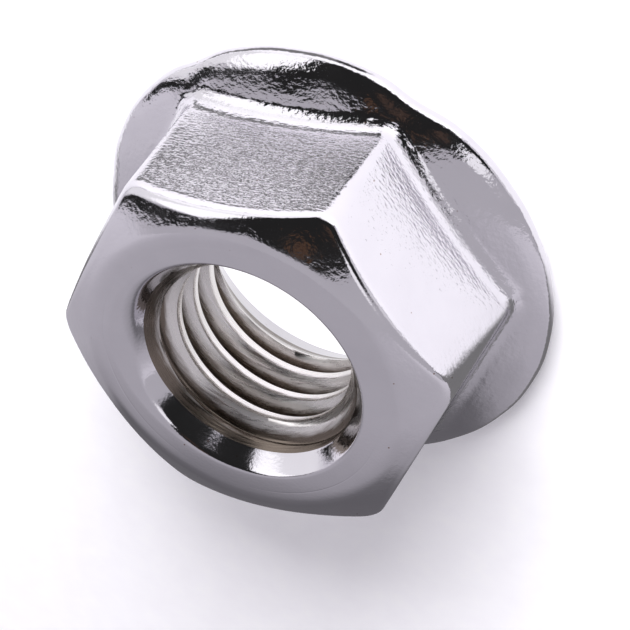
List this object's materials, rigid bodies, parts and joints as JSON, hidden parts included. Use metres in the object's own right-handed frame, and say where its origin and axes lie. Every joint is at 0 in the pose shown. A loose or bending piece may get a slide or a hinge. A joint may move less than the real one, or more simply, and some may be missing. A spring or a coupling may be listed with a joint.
{
  "type": "serrated flange nut",
  "caption": "Hexagon nut in one piece with a sloping round flange, whose bearing face carries a ring of ratchet serrations around a plain recess.",
  "frame": {"origin": "centre of the bearing plane, which the crests of the serrations lie in", "axes": "+Z along the thread axis, from the bearing face to the free end; two of the hexagon's corners on the X axis"},
  "size_m": [0.0172, 0.0172, 0.0077],
  "materials": {
    "stainless": "bright tumbled and polished austenitic stainless steel"
  },
  "bodies": {
    "root": {"flange_nut": "stainless"}
  },
  "joints": []
}
